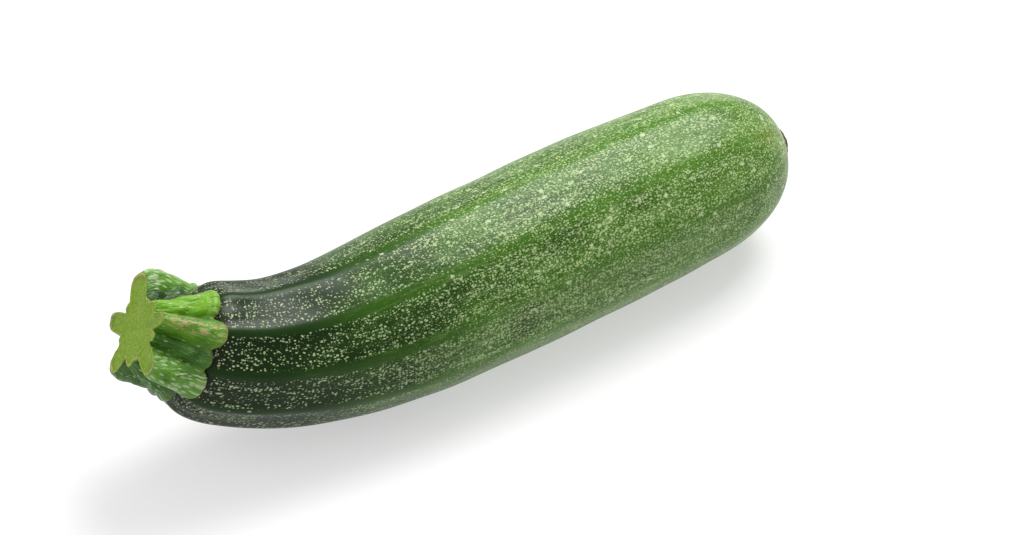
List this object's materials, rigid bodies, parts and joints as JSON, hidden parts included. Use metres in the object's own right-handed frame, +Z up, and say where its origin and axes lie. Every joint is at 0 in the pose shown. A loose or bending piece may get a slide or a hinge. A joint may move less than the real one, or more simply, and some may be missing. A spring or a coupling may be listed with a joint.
{
  "type": "courgette",
  "caption": "Whole dark green courgette lying on its side, with a ribbed cut stem on a bent neck and a small dry scar at its rounded blossom end",
  "frame": {"origin": "bottom centre of the whole courgette as it lies, on the surface that it rests on", "axes": "+X along the body from the stem end to the blossom end, +Z up, +Y to the side that the stem turns to"},
  "size_m": [0.1916, 0.0468, 0.0498],
  "materials": {
    "skin": "smooth waxy vegetable skin, dark green with pale specks and darker stripes along its ridges",
    "stem": "ribbed green stem with pale streaks, its cut face moist, matt and yellow-green",
    "scar": "dry brown corky scar"
  },
  "bodies": {
    "root": {"fruit": "skin", "stem": "stem", "blossom_scar": "scar"}
  },
  "joints": []
}
